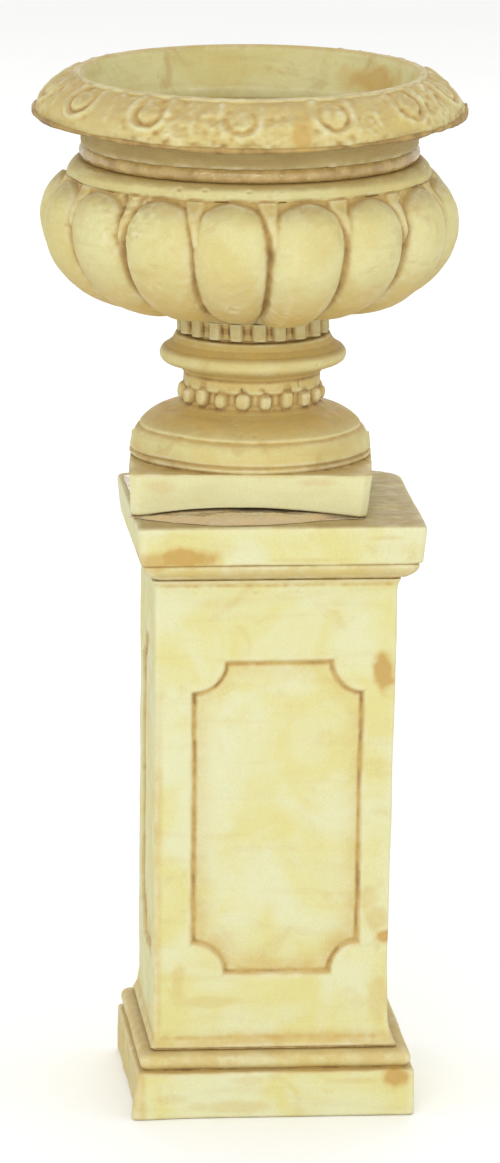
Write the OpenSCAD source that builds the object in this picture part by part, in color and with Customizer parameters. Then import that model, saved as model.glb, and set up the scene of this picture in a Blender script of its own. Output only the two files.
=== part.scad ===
// Garden urn on a square pedestal, in cast stone.
// Origin: centre of the pedestal's underside. +Z is up and the front faces -Y.
// The pedestal is a base, a hollow shaft and a cap on thin mortar beds, pinned with dowels.
// The urn is a socle, a fluted neck and a lobed bowl, drawn together by a hollow drain tube with
// nuts and washers. A separate rim stands on the bowl in a ring of sealant.
// It stands loose, a little off centre and turned, on a clear slip sheet on the cap.

/* [Pedestal] */
// Height of the pedestal without the urn
pedestal_h = 407; // [380:1:440]
// Half width of the base plinth
base_half = 93.7; // [92:0.1:100]
// Height of the base plinth below its moulding
base_plinth_h = 32; // [30:0.1:36]
// Height of the whole base piece
base_h = 45; // [43:0.5:50]
// Half width of the shaft between its flares
shaft_half = 80; // [76:0.5:82]
// Half width of the hollow inside the shaft
shaft_hollow_half = 56; // [48:0.5:57]
// Half width of the cap at its top edge
cap_half = 97; // [94:0.1:100]
// Sideways offset of the cap on the shaft
cap_offset_x = 1.6; // [-2:0.1:2]
// Height of the whole cap piece
cap_h = 37; // [33:0.5:38]
// Height of the flat slab at the top of the cap
cap_slab_h = 26.6; // [23:0.1:27]

/* [Panels] */
// Width of the sunk panel in each face of the shaft
panel_w = 114; // [90:1:120]
// Height of the sunk panel
panel_h = 215; // [180:1:225]
// Height of the panel's lower edge above the ground
panel_z = 97; // [85:1:100]
// Radius of the notch in each corner of the panel
panel_notch_r = 21; // [12:0.5:26]
// Depth of the panel
panel_depth = 3.5; // [2:0.1:4.5]

/* [Urn] */
// Height of the urn above the slip sheet
urn_h = 290; // [288:0.5:294]
// Sideways offset of the urn's axis from the pedestal's axis
urn_offset_x = -13; // [-14:0.5:10]
// Backward offset of the urn's axis
urn_offset_y = 11.5; // [-10:0.5:12]
// Turn of the urn on the cap, seen from above
urn_yaw = -5; // [-12:0.5:12]
// Radius at the rim's lip
lip_r = 147; // [144:0.5:150]
// Number of lobes round the bowl
lobe_count = 16; // [12:1:16]
// Number of eggs round the rim
egg_count = 13; // [8:1:14]
// Number of ribs round the neck
rib_count = 20; // [12:1:22]
// Number of beads round the collar
bead_count = 19; // [12:1:22]
// Half width of the square plinth at its top edge
plinth_half = 81.1; // [81:0.1:84]
// Height of the square plinth
plinth_h = 28.8; // [27:0.1:30]

/* [Fastenings] */
// Radius of the pedestal's steel dowels
dowel_r = 4; // [3:0.5:5]
// Length of a dowel
dowel_l = 44; // [36:1:46]
// Thickness of a mortar bed
bed_t = 2; // [1.5:0.1:3]
// Thickness of the clear slip sheet
sheet_t = 1.2; // [0.6:0.1:1.5]
// Outer radius of the drain tube
tube_r = 5; // [4.5:0.1:5.5]
// Inner radius of the drain tube
tube_bore_r = 2.4; // [1.5:0.1:2.4]

/* [Hidden] */
$fn = 96;

// Levels of the pedestal
shaft_z = base_h + bed_t;
cap_z = pedestal_h - cap_h;
shaft_top = cap_z - bed_t;
cap_slab_z = pedestal_h - cap_slab_h;
// Half widths where the shaft meets the base and the cap
shaft_foot_half = shaft_half + 4;
shaft_head_half = shaft_half + 2.3;
foot_flare_h = 16;
head_flare_h = 9;
// Half width of the mouldings beside the plinth and under the slab
base_mould_half = base_half - 2.2;
cap_mould_half = cap_half - 4.4;
cap_foot_half = cap_half - 2.4;
corner_r = 4;
// Beds stop short of the faces, so that the joints read as fine grooves
bed_half = shaft_half - 2;
// Dowels stand in the middle of the shaft's corners
dowel_at = (shaft_half + shaft_hollow_half) / 2;
dowel_fit = 0.05;

// Levels of the urn, from the underside of its plinth
urn_z = pedestal_h + sheet_t;
plinth_foot_half = plinth_half - 2.7;
arch_rise = 6;
arch_depth = 34;
dome_r = 31.5;
dome_at = plinth_half - dome_r + 0.9;
collar_r = 45;
collar_z = 58;
bead_r = 5.4;
bead_at = collar_r + 0.7;
bead_z = 71.6;
ring_z = 93.5;
ring_nose_r = 5;
ring_at = 58;
socle_top = 111.5;
neck_z = socle_top + bed_t;
neck_r = 48;
rib_r = 3.4;
neck_top = 125;
// First repeat of each ornament, counted from the front
lobe_phase = -5.2;
egg_phase = -2.4;
rib_phase = -13;
bead_phase = -7;
// The bowl's bulge is an arc of this radius about a point in the wall
bulge_r = 56;
bulge_at = 86.5;
bulge_z = 190;
bowl_z = neck_top;
fillet_r = 124;
fillet_z = 215;
bowl_top = 230;
// The rim's neck stands on the bowl, with the sealant in a groove round its foot
band_r = 113.6;
groove_r = 107;
groove_top = 240;
sealant_r = 115;
// The rim's upper side is an arc about this point, and its underside slopes back to the band
rim_arc_r = 48.8;
rim_arc_at = lip_r - 47;
rim_arc_z = urn_h - 45;
lip_z = urn_h - 29;
rim_foot_z = lip_z - 4;
// Inside of the bowl
well_r = 44;
well_at = 70;
well_z = 196;
throat_r = 100;
mouth_r = 112;
floor_z = well_z - well_r;
// Fastenings on the drain tube
pocket_r = 26;
pocket_h = 22;
washer_r = 22;
washer_t = 3;
gasket_r = 15;
gasket_t = 2;
nut_r = 9.8;
nut_t = 8;
tube_z = pocket_h - washer_t - nut_t - 3;
tube_top = floor_z + gasket_t * 2 + nut_t + 4;

pedestal_stone = [0.93, 0.89, 0.68];
urn_stone = [0.90, 0.84, 0.60];
mortar = [0.62, 0.52, 0.34];
steel = [0.62, 0.63, 0.65];
brass = [0.80, 0.66, 0.33];

// Puts the urn's own frame on the cap
module on_cap() {
    translate([urn_offset_x, urn_offset_y, urn_z]) rotate([0, 0, urn_yaw]) children();
}

// Solid with the same side outline on all four faces; the child is drawn as half width over height
module four_sided() {
    intersection_for (turn = [0, 90]) {
        rotate([0, 0, turn]) rotate([90, 0, 0])
            linear_extrude(height = 400, center = true) {
                children();
                mirror([1, 0]) children();
            }
    }
}

// Upright column with rounded corners that trims a square stage
module rounded_column(half, height) {
    inner = half - corner_r;
    linear_extrude(height = height) {
        square([2 * half, 2 * inner], center = true);
        square([2 * inner, 2 * half], center = true);
        for (x = [-inner, inner], y = [-inner, inner])
            translate([x, y]) circle(corner_r);
    }
}

// Places the children at the four dowel positions
module at_dowels(z) {
    for (x = [-dowel_at, dowel_at], y = [-dowel_at, dowel_at])
        translate([x, y, z]) children();
}

// One dowel hole is a hair wider than the dowel
module dowel_holes(joint_z) {
    at_dowels(joint_z - dowel_l / 2) cylinder(r = dowel_r + dowel_fit, h = dowel_l);
}

module dowels(joint_z) {
    at_dowels(joint_z - dowel_l / 2 + 0.5) cylinder(r = dowel_r, h = dowel_l - 1);
}

// Square ring of mortar between two stones
module mortar_bed(z) {
    difference() {
        translate([-bed_half, -bed_half, z]) cube([2 * bed_half, 2 * bed_half, bed_t]);
        translate([-shaft_hollow_half, -shaft_hollow_half, z - 1])
            cube([2 * shaft_hollow_half, 2 * shaft_hollow_half, bed_t + 2]);
        dowel_holes(z + bed_t / 2);
    }
}

module pedestal_base() {
    mould_r = (base_h - base_plinth_h - 1) / 2;
    color(pedestal_stone) difference() {
        intersection() {
            four_sided() {
                square([base_half, base_plinth_h]);
                square([base_mould_half - mould_r, base_h]);
                translate([base_mould_half - mould_r, base_h - mould_r]) circle(mould_r);
            }
            rounded_column(base_half, base_h);
        }
        dowel_holes(base_h + bed_t / 2);
    }
}

module base_mortar_bed() {
    color(mortar) mortar_bed(base_h);
}

module base_dowels() {
    color(steel) dowels(base_h + bed_t / 2);
}

// Sunk panel outline: a rectangle with a round bite out of each corner
module panel_outline() {
    difference() {
        translate([-panel_w / 2, panel_z]) square([panel_w, panel_h]);
        for (x = [-panel_w / 2, panel_w / 2], z = [panel_z, panel_z + panel_h])
            translate([x, z]) circle(panel_notch_r);
    }
}

module pedestal_shaft() {
    foot_step = shaft_foot_half - shaft_half;
    head_step = shaft_head_half - shaft_half;
    color(pedestal_stone) difference() {
        four_sided() {
            translate([0, shaft_z]) square([shaft_half, shaft_top - shaft_z]);
            polygon([
                [0, shaft_z], [shaft_foot_half, shaft_z],
                [shaft_half + foot_step * 0.3, shaft_z + foot_flare_h * 0.4],
                [shaft_half, shaft_z + foot_flare_h], [0, shaft_z + foot_flare_h]
            ]);
            polygon([
                [0, shaft_top - head_flare_h], [shaft_half, shaft_top - head_flare_h],
                [shaft_half + head_step * 0.3, shaft_top - head_flare_h * 0.4],
                [shaft_head_half, shaft_top], [0, shaft_top]
            ]);
        }
        translate([-shaft_hollow_half, -shaft_hollow_half, 0])
            cube([2 * shaft_hollow_half, 2 * shaft_hollow_half, pedestal_h]);
        for (turn = [0:90:270])
            rotate([0, 0, turn]) translate([0, -shaft_half + panel_depth, 0])
                rotate([90, 0, 0]) linear_extrude(height = 20) panel_outline();
        dowel_holes(base_h + bed_t / 2);
        dowel_holes(shaft_top + bed_t / 2);
    }
}

module cap_mortar_bed() {
    color(mortar) mortar_bed(shaft_top);
}

module cap_dowels() {
    color(steel) dowels(shaft_top + bed_t / 2);
}

module pedestal_cap() {
    mould_h = cap_slab_z - cap_z;
    mould_foot_half = cap_mould_half - mould_h * 0.58;
    color(pedestal_stone) difference() {
        translate([cap_offset_x, 0, 0]) intersection() {
            four_sided() {
                polygon([
                    [0, cap_slab_z], [cap_foot_half, cap_slab_z],
                    [cap_half, pedestal_h - 3], [cap_half, pedestal_h], [0, pedestal_h]
                ]);
                translate([0, cap_z]) square([mould_foot_half, mould_h]);
                intersection() {
                    translate([cap_mould_half - mould_h, cap_slab_z]) circle(mould_h);
                    translate([0, cap_z]) square([cap_mould_half, mould_h]);
                }
            }
            translate([0, 0, cap_z]) rounded_column(cap_half, cap_h);
        }
        dowel_holes(shaft_top + bed_t / 2);
    }
}

// Cylinder lying along the urn's Y axis whose top rises under the plinth's front edge
module front_arch(rise, depth) {
    arch_r = (plinth_foot_half * plinth_foot_half + rise * rise) / (2 * rise);
    intersection() {
        translate([0, -plinth_half - 4, rise - arch_r]) rotate([-90, 0, 0])
            cylinder(r = arch_r, h = depth + 4, $fn = 360);
        translate([-plinth_half, -plinth_half - 5, 0])
            cube([2 * plinth_half, depth + 10, rise + 1]);
    }
}

// Plan of the slip sheet's apron, which spreads on the cap in front of the plinth
module apron_plan() {
    apron_half = 64;
    apron_reach = 27;
    apron_shift = -10;
    apron_r = (apron_half * apron_half + apron_reach * apron_reach) / (2 * apron_reach);
    intersection() {
        translate([apron_shift, apron_r - apron_reach - plinth_foot_half - 0.6]) circle(apron_r, $fn = 180);
        translate([-plinth_half, -2 * plinth_half - 0.6 + plinth_half - plinth_foot_half])
            square([2 * plinth_half, plinth_half]);
    }
}

module clear_slip_sheet() {
    strip_w = 40;
    strip_end = 86;
    color([0.80, 0.70, 0.60, 0.6]) {
        on_cap() {
            translate([-plinth_foot_half, -plinth_foot_half, -sheet_t])
                cube([2 * plinth_foot_half - 2, 2 * plinth_foot_half - 4, sheet_t]);
            translate([0, 0, -sheet_t]) linear_extrude(height = 2 * sheet_t) apron_plan();
            translate([0, -1, 0]) front_arch(arch_rise - 0.6, arch_depth - 2);
        }
        translate([cap_offset_x - cap_half - 1, -strip_end + 24, pedestal_h])
            cube([strip_w, 2 * strip_end - 24, sheet_t]);
    }
}

// Outline of the socle's turned part: domed foot, beaded collar and ring
module socle_outline() {
    difference() {
        union() {
            intersection() {
                translate([dome_at, plinth_h + 0.7]) circle(dome_r);
                translate([0, plinth_h]) square([plinth_half, dome_r + 2]);
            }
            translate([0, plinth_h]) square([dome_at, dome_r]);
        }
        translate([dome_at + dome_r, plinth_h + 3]) circle(1.6);
        translate([dome_at + dome_r * 0.83, plinth_h + 19]) circle(1.6);
    }
    translate([0, collar_z - 4]) square([collar_r, ring_z - collar_z + 8]);
    translate([ring_at, ring_z + ring_nose_r]) circle(ring_nose_r);
    polygon([
        [0, ring_z - 7], [collar_r, ring_z - 7], [ring_at, ring_z],
        [ring_at + 3.5, ring_z + 2 * ring_nose_r - 1.4], [neck_r + rib_r + 1, socle_top], [0, socle_top]
    ]);
}

// Hole for the drain tube through a stone of the urn
module tube_hole(low, high) {
    translate([0, 0, low - 1]) cylinder(r = tube_r + dowel_fit, h = high - low + 2);
}

module urn_socle() {
    color(urn_stone) on_cap() difference() {
        union() {
            four_sided() polygon([[0, 0], [plinth_foot_half, 0], [plinth_half, plinth_h], [0, plinth_h]]);
            rotate([0, 0, bead_phase - 90]) {
                rotate([0, 0, 180 / bead_count]) rotate_extrude() socle_outline();
                for (i = [0:bead_count - 1])
                    rotate([0, 0, 360 * i / bead_count]) translate([bead_at, 0, bead_z]) sphere(bead_r);
            }
        }
        front_arch(arch_rise, arch_depth);
        translate([0, 0, -1]) cylinder(r = pocket_r, h = pocket_h + 1);
        tube_hole(0, socle_top);
    }
}

module neck_mortar_bed() {
    color(mortar) on_cap() difference() {
        translate([0, 0, socle_top]) cylinder(r = neck_r - 1, h = bed_t);
        tube_hole(socle_top, neck_z);
    }
}

module urn_neck() {
    color(urn_stone) on_cap() difference() {
        union() {
            rotate([0, 0, rib_phase - 90 + 180 / rib_count]) translate([0, 0, neck_z])
                cylinder(r = neck_r, h = neck_top - neck_z);
            for (i = [0:rib_count - 1])
                rotate([0, 0, rib_phase - 90 + 360 * i / rib_count]) translate([neck_r, 0, neck_z])
                    cylinder(r = rib_r, h = neck_top - neck_z, $fn = 24);
        }
        tube_hole(neck_z, neck_top);
    }
}

// Outline of the bowl's solid: foot, bulge and fillet
module bowl_outline() {
    polygon([
        [0, bowl_z], [neck_r + rib_r + 1, bowl_z], [neck_r + 20, bowl_z + 5],
        [bulge_at, bulge_z - bulge_r + 5], [bulge_at, bowl_top], [0, bowl_top]
    ]);
    intersection() {
        translate([bulge_at, bulge_z]) circle(bulge_r, $fn = 180);
        translate([0, bowl_z]) square([lip_r, fillet_z - bowl_z]);
    }
    translate([0, fillet_z - 1]) square([fillet_r, bowl_top - fillet_z + 1]);
}

// Outline of the space inside the bowl
module well_outline() {
    translate([0, floor_z]) square([well_at, well_z - floor_z + 1]);
    intersection() {
        translate([well_at, well_z]) circle(well_r);
        translate([0, floor_z]) square([lip_r, 2 * well_r]);
    }
    translate([0, well_z]) square([throat_r, bowl_top - well_z + 1]);
}

// Channel that parts two lobes: a bent rod along the bulge
module lobe_channel() {
    channel_r = 8;
    channel_depth = 2.8;
    channel_start = -102;
    channel_sweep = 134;
    translate([bulge_at, 0, bulge_z]) rotate([90, 0, 0]) rotate([0, 0, channel_start])
        rotate_extrude(angle = channel_sweep)
            translate([bulge_r + channel_r - channel_depth, 0]) circle(channel_r, $fn = 32);
}

module urn_bowl() {
    color(urn_stone) on_cap() difference() {
        rotate_extrude() bowl_outline();
        for (i = [0:lobe_count - 1])
            rotate([0, 0, lobe_phase - 90 + 360 * (i + 0.5) / lobe_count]) lobe_channel();
        rotate_extrude() well_outline();
        tube_hole(bowl_z, floor_z);
    }
}

module rim_sealant() {
    bead_h = groove_top - bowl_top;
    color([0.55, 0.38, 0.18]) on_cap() rotate_extrude() {
        translate([groove_r, bowl_top]) square([sealant_r - groove_r - bead_h / 4, bead_h]);
        intersection() {
            translate([sealant_r - bead_h / 2, bowl_top + bead_h / 2]) circle(bead_h / 2);
            translate([groove_r + 0.5, bowl_top]) square([sealant_r, bead_h]);
        }
    }
}

// Cross-section of the rim: foot, neck band and flaring lip, with the throat taken out
module rim_outline() {
    difference() {
        union() {
            translate([0, bowl_top]) square([groove_r, groove_top - bowl_top + 1]);
            translate([0, groove_top]) square([band_r, rim_foot_z - groove_top + 2]);
            intersection() {
                translate([rim_arc_at, rim_arc_z]) circle(rim_arc_r, $fn = 180);
                polygon([
                    [0, rim_foot_z], [band_r, rim_foot_z], [lip_r, lip_z - 1], [lip_r, urn_h], [0, urn_h]
                ]);
            }
            translate([0, rim_foot_z]) square([rim_arc_at, urn_h - rim_foot_z]);
        }
        translate([-1, bowl_top - 1]) square([throat_r + 1, urn_h - bowl_top + 2]);
        polygon([
            [0, lip_z], [throat_r, lip_z], [mouth_r - 2, urn_h - 8], [mouth_r + 1, urn_h + 1], [0, urn_h + 1]
        ]);
    }
}

module urn_rim() {
    egg_r = 12;
    egg_tilt = 50;
    egg_rise = 1.2;
    color(urn_stone) on_cap() {
        rotate_extrude() rim_outline();
        for (i = [0:egg_count - 1])
            rotate([0, 0, egg_phase - 90 + 360 * i / egg_count])
                translate([rim_arc_at, 0, rim_arc_z]) rotate([0, egg_tilt, 0])
                    translate([0, 0, rim_arc_r - egg_r + egg_rise]) sphere(egg_r);
    }
}

module drain_tube() {
    color(brass) on_cap() difference() {
        translate([0, 0, tube_z]) cylinder(r = tube_r, h = tube_top - tube_z);
        translate([0, 0, tube_z - 1]) cylinder(r = tube_bore_r, h = tube_top - tube_z + 2);
    }
}

// Flat ring round the drain tube
module tube_ring(z, radius, thickness) {
    on_cap() difference() {
        translate([0, 0, z]) cylinder(r = radius, h = thickness);
        translate([0, 0, z - 1]) cylinder(r = tube_r + dowel_fit, h = thickness + 2);
    }
}

// Hexagonal nut on the drain tube
module tube_nut(z) {
    on_cap() difference() {
        translate([0, 0, z]) cylinder(r = nut_r, h = nut_t, $fn = 6);
        translate([0, 0, z - 1]) cylinder(r = tube_r + dowel_fit, h = nut_t + 2);
    }
}

module tube_gasket() {
    color([0.12, 0.12, 0.12]) tube_ring(floor_z, gasket_r, gasket_t);
}

module tube_top_washer() {
    color(steel) tube_ring(floor_z + gasket_t, gasket_r - 1, gasket_t);
}

module tube_top_nut() {
    color(brass) tube_nut(floor_z + 2 * gasket_t);
}

module tube_plate_washer() {
    color(steel) tube_ring(pocket_h - washer_t, washer_r, washer_t);
}

module tube_bottom_nut() {
    color(brass) tube_nut(pocket_h - washer_t - nut_t);
}

pedestal_base();
base_mortar_bed();
base_dowels();
pedestal_shaft();
cap_mortar_bed();
cap_dowels();
pedestal_cap();
clear_slip_sheet();
urn_socle();
neck_mortar_bed();
urn_neck();
urn_bowl();
rim_sealant();
urn_rim();
drain_tube();
tube_gasket();
tube_top_washer();
tube_top_nut();
tube_plate_washer();
tube_bottom_nut();
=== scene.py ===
"""Garden urn on a square pedestal, in painted cast stone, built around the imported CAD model.

Shapes are worked out in millimetres in two frames: the pedestal's, which is the row frame, and
the urn's, whose axis and heights come from the CAD nodes. Angles round the urn are counted from
its front (-Y) towards +X.
"""

from math import cos, pi, radians, sin

import bpy
import numpy as np
from mathutils import Matrix, Vector


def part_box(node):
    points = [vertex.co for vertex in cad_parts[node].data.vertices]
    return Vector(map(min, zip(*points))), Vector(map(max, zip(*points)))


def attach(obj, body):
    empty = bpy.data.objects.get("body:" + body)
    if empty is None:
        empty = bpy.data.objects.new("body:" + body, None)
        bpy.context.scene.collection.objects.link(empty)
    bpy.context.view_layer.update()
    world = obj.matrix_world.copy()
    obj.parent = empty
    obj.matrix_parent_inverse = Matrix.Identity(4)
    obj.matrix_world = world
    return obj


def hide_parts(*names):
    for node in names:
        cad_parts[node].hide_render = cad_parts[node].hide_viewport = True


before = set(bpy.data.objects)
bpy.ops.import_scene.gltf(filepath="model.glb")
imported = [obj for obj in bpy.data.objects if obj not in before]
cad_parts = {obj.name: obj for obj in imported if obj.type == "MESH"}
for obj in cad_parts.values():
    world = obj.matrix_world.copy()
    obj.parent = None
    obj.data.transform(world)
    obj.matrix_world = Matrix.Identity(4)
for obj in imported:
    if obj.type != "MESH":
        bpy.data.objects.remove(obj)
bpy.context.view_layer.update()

MM = 0.001
URN_YAW = radians(-5)


def cad(node):
    """Lowest and highest corner of a CAD node, in millimetres."""
    low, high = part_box(node)
    return np.array(low) / MM, np.array(high) / MM


# ---------------------------------------------------------------- levels and radii from the frame
BASE_HI = cad("pedestal_base")[1]
CAP_LO, CAP_HI = cad("pedestal_cap")
RIM_LO, RIM_HI = cad("urn_rim")

URN_AXIS = (RIM_LO + RIM_HI)[:2] / 2
URN_Z = cad("urn_socle")[0][2]
LIP_R = (RIM_HI - RIM_LO)[0] / 2
TUBE_R = np.subtract(*cad("drain_tube")[::-1])[0] / 2
HOLE_R = TUBE_R + 0.05


# ---------------------------------------------------------------- noise
def lattice_hash(i, j, k, seed):
    """A fixed random number from -1 to 1 for each lattice point."""
    h = (i * 73856093) ^ (j * 19349663) ^ (k * 83492791) ^ (seed * 2654435761)
    h &= 0xFFFFFFFF
    for _ in range(2):
        h = ((h ^ (h >> 16)) * 0x45D9F3B) & 0xFFFFFFFF
    return (h ^ (h >> 16)) / 2147483647.5 - 1


def variation(i, count, kind, seed):
    """Fixed random numbers from -1 to 1 for the i-th repeat of an ornament."""
    return lattice_hash(np.full(count, i), np.arange(count), np.full(count, kind), seed)


def noise(points, cell, seed=0):
    """Smooth noise from -1 to 1 whose bumps are about one cell wide."""
    q = np.asarray(points, float) / cell + 4096
    low = np.floor(q).astype(np.int64)
    f = q - low
    f = f * f * (3 - 2 * f)
    total = np.zeros(q.shape[:-1])
    for corner in range(8):
        step = np.array([corner & 1, corner >> 1 & 1, corner >> 2])
        weight = np.prod(np.where(step, f, 1 - f), axis=-1)
        i, j, k = np.moveaxis(low + step, -1, 0)
        total += weight * lattice_hash(i, j, k, seed)
    return total


def rough(points, cell, octaves, seed=0):
    """Noise with finer and weaker layers added."""
    layers = [noise(points, cell / 2 ** n, seed + n) / 2 ** n for n in range(octaves)]
    return sum(layers)


def smooth(low, high, x):
    """0 below low, 1 above high, and an S curve in between."""
    t = np.clip((x - low) / (high - low), 0, 1)
    return t * t * (3 - 2 * t)


def dome(x, power=2.0):
    """Height of a rounded bump over -1 to 1, with steep sides."""
    return np.sqrt(np.clip(1 - np.abs(x) ** power, 0, 1))


# ---------------------------------------------------------------- outlines
def line(a, b, step):
    """Points from a towards b, without b."""
    a, b = np.array(a, float), np.array(b, float)
    count = max(1, round(float(np.linalg.norm(b - a)) / step))
    return a + (b - a) * (np.arange(count) / count)[:, None]


def arc(centre, radii, start, end, step=1.3):
    """Points of an elliptical arc, angles in degrees, without its end."""
    radii = np.broadcast_to(np.array(radii, float), 2)
    length = radians(abs(end - start)) * radii.mean()
    count = max(2, round(length / step))
    t = np.radians(start + (end - start) * np.arange(count) / count)
    return np.array(centre, float) + radii * np.stack([np.cos(t), np.sin(t)], -1)


def path(*items):
    """Straight stretches through the points, without the last; a number among them is a new step."""
    step, last, stretches = 1.3, None, []
    for item in items:
        if np.isscalar(item):
            step = item
            continue
        if last is not None:
            stretches.append(line(last, item, step))
        last = item
    return np.concatenate(stretches)


# ---------------------------------------------------------------- meshes
def face_normals(p, closed):
    """Unit normals of a grid of points that wraps round its second side."""
    across = np.roll(p, -1, -2) - np.roll(p, 1, -2)
    along = np.roll(p, -1, -3) - np.roll(p, 1, -3) if closed else np.gradient(p, axis=-3)
    n = np.cross(across, along)
    return n / np.maximum(np.linalg.norm(n, axis=-1, keepdims=True), 1e-9)


def hollows(p, n, reach):
    """How far each point lies below its neighbours a few steps away, in millimetres."""
    found = np.zeros(p.shape[:-1])
    for axis in (-3, -2):
        beside = (np.roll(p, reach, axis) + np.roll(p, -reach, axis)) / 2
        found += np.sum((beside - p) * n, -1)
    return found


def blur(a, rounds=1):
    """Evens out a map over the grid."""
    for _ in range(rounds):
        for axis in (-2, -1):
            a = (np.roll(a, 1, axis) + 2 * a + np.roll(a, -1, axis)) / 4
    return a


def add_object(name, data):
    """A new object in the scene that holds the data."""
    thing = bpy.data.objects.new(name, data)
    bpy.context.scene.collection.objects.link(thing)
    return thing


def grid_mesh(name, p, closed, maps):
    """A mesh of one or more grids of points in millimetres; an open grid gets a cap at each end."""
    rows, around = p.shape[-3:-1]
    index = np.arange(p.size // 3).reshape(-1, rows, around)
    lower = index if closed else index[:, :-1]
    upper = np.roll(index, -1, 1) if closed else index[:, 1:]
    quads = np.stack([lower, np.roll(lower, -1, 2), np.roll(upper, -1, 2), upper], -1)
    loops = [quads.reshape(-1)]
    starts = np.arange(quads[..., 0].size) * 4
    if not closed:
        ends = np.stack([index[:, 0, ::-1], index[:, -1]], 1)
        loops.append(ends.reshape(-1))
        starts = np.append(starts, quads.size + np.arange(2 * len(index)) * around)
    loops = np.concatenate(loops)
    mesh = bpy.data.meshes.new(name)
    mesh.vertices.add(p.size // 3)
    mesh.vertices.foreach_set("co", (p * MM).astype(np.float32).ravel())
    mesh.loops.add(len(loops))
    mesh.loops.foreach_set("vertex_index", loops.astype(np.int32))
    mesh.polygons.add(len(starts))
    mesh.polygons.foreach_set("loop_start", starts.astype(np.int32))
    mesh.update(calc_edges=True)
    mesh.polygons.foreach_set("use_smooth", np.ones(len(starts), bool))
    for key, values in maps.items():
        layer = mesh.attributes.new(key, "FLOAT", "POINT")
        layer.data.foreach_set("value", values.astype(np.float32).ravel())
    return add_object(name, mesh)


def radius(p):
    """Distance of each point from the Z axis."""
    return np.hypot(p[..., 0], p[..., 1])


def side_reach(p):
    """Half width of the square that each point lies on."""
    return np.abs(p[..., :2]).max(-1)


def off_the_hole(p):
    """0 at the tube's hole, which keeps its shape, and 1 away from it."""
    return smooth(5.5, 20, radius(p))


def levels(node):
    """Lowest and highest level of a CAD node in the urn's frame."""
    low, high = cad(node)
    return low[2] - URN_Z, high[2] - URN_Z


def in_row_frame(p):
    """Urn-frame points moved to their place in the row frame."""
    c, s = cos(URN_YAW), sin(URN_YAW)
    x, y, z = np.moveaxis(p, -1, 0)
    return np.stack([x * c - y * s + URN_AXIS[0], x * s + y * c + URN_AXIS[1], z + URN_Z], -1)


def stone_piece(name, p, closed=True, lumps=0.45, grain=0.1, seed=0, stain=None, urn=False, keep=None,
                flat=(-999, 999), pitted=True, wash_and_shade=None, near_share=0.9, wide=0.7):
    """A cast piece: worn and lumpy, with maps of its hollows, edges and stains for the paint.

    Points at the lowest and highest level in flat keep their height, so that joints stay tight.
    """
    n = face_normals(p, closed)
    if np.sum(n * (p - p.mean((0, 1)))) < 0:
        raise ValueError(name + " is inside out")
    soft = rough(p, 34, 2, seed) * lumps
    fine = rough(p, 5, 2, seed + 10) * grain
    where = smooth(0.1, 0.6, noise(p, 30, seed + 21))
    pits = smooth(0.62, 0.9, noise(p, 4.2, seed + 20)) * where * -0.8
    give = (soft + fine + pits * pitted)[..., None] * n
    if keep is not None:
        give *= keep[..., None]
    level = p[..., 2]
    give[..., 2] *= smooth(flat[0], flat[0] + 1.5, level) * smooth(flat[1], flat[1] - 1.5, level)
    p = p + give
    n = face_normals(p, closed)
    near, far = hollows(p, n, 2), hollows(p, n, 6)
    blank = np.zeros(p.shape[:-1])
    maps = {
        "cavity": blur(smooth(0.03, 0.55, near) * near_share + smooth(0.15, 2.2, far) * wide),
        "wash_and_shade": blank if wash_and_shade is None else wash_and_shade,
        "edge": blur(smooth(0.05, 0.6, -near)),
        "stain": blank if stain is None else stain(p),
    }
    return grid_mesh(name, in_row_frame(p) if urn else p, closed, maps)


def turned(outline, around):
    """Radius and height grids of an outline turned about the urn's axis, and the angle grid."""
    outline = np.asarray(outline)
    phi = np.broadcast_to(np.arange(around) * 2 * pi / around, (len(outline), around))
    r = np.repeat(outline[:, :1], around, 1)
    z = np.repeat(outline[:, 1:], around, 1)
    return phi, r, z


def from_polar(phi, r, z):
    """Points from an angle counted from the front towards +X."""
    return np.stack([r * np.sin(phi), -r * np.cos(phi), z], -1)


def turn_between(phi, centre):
    """Signed angle from centre to phi, from -pi to pi."""
    return (phi - centre + pi) % (2 * pi) - pi


# ---------------------------------------------------------------- square pieces
def square_ring(side_points, corner_points):
    """Unit square ring: for each point its flat position, its corner direction and its side number."""
    flat, corner = [], []
    for side in range(4):
        turn = side * pi / 2
        ax, ay = cos(turn), sin(turn)
        for t in np.linspace(-1, 1, side_points):
            flat.append((t * ax + ay, t * ay - ax))
            corner.append((ay, -ax))
        for t in np.linspace(0, pi / 2, corner_points + 2)[1:-1]:
            flat.append((ax + ay, ay - ax))
            corner.append((ay * cos(t) + ax * sin(t), -ax * cos(t) + ay * sin(t)))
    return np.array(flat), np.array(corner)


def square_loft(outline, corner_r, side_points, corner_points=4):
    """Points of an outline (half width, height) carried round a square with rounded corners."""
    flat, corner = square_ring(side_points, corner_points)
    half, z = np.asarray(outline).T
    inner = np.maximum(half - corner_r, half * 0.5)
    xy = flat * inner[:, None, None] + corner * (half - inner)[:, None, None]
    return np.concatenate([xy, np.broadcast_to(z[:, None, None], xy.shape[:2] + (1,))], -1)


PANEL_W, PANEL_LO, PANEL_HI, PANEL_NOTCH, PANEL_DEPTH = 114, 97, 312, 21, 3.5
CAP_CORNER_R = 24


def panel_distance(u, z):
    """Distance in mm into the sunk panel from its edge, negative outside; u runs across the face."""
    middle = (PANEL_LO + PANEL_HI) / 2
    inside = np.minimum(PANEL_W / 2 - np.abs(u), (PANEL_HI - PANEL_LO) / 2 - np.abs(z - middle))
    to_corner = np.hypot(np.abs(u) - PANEL_W / 2, np.abs(z - middle) - (PANEL_HI - PANEL_LO) / 2)
    return np.minimum(inside, to_corner - PANEL_NOTCH)


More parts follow.
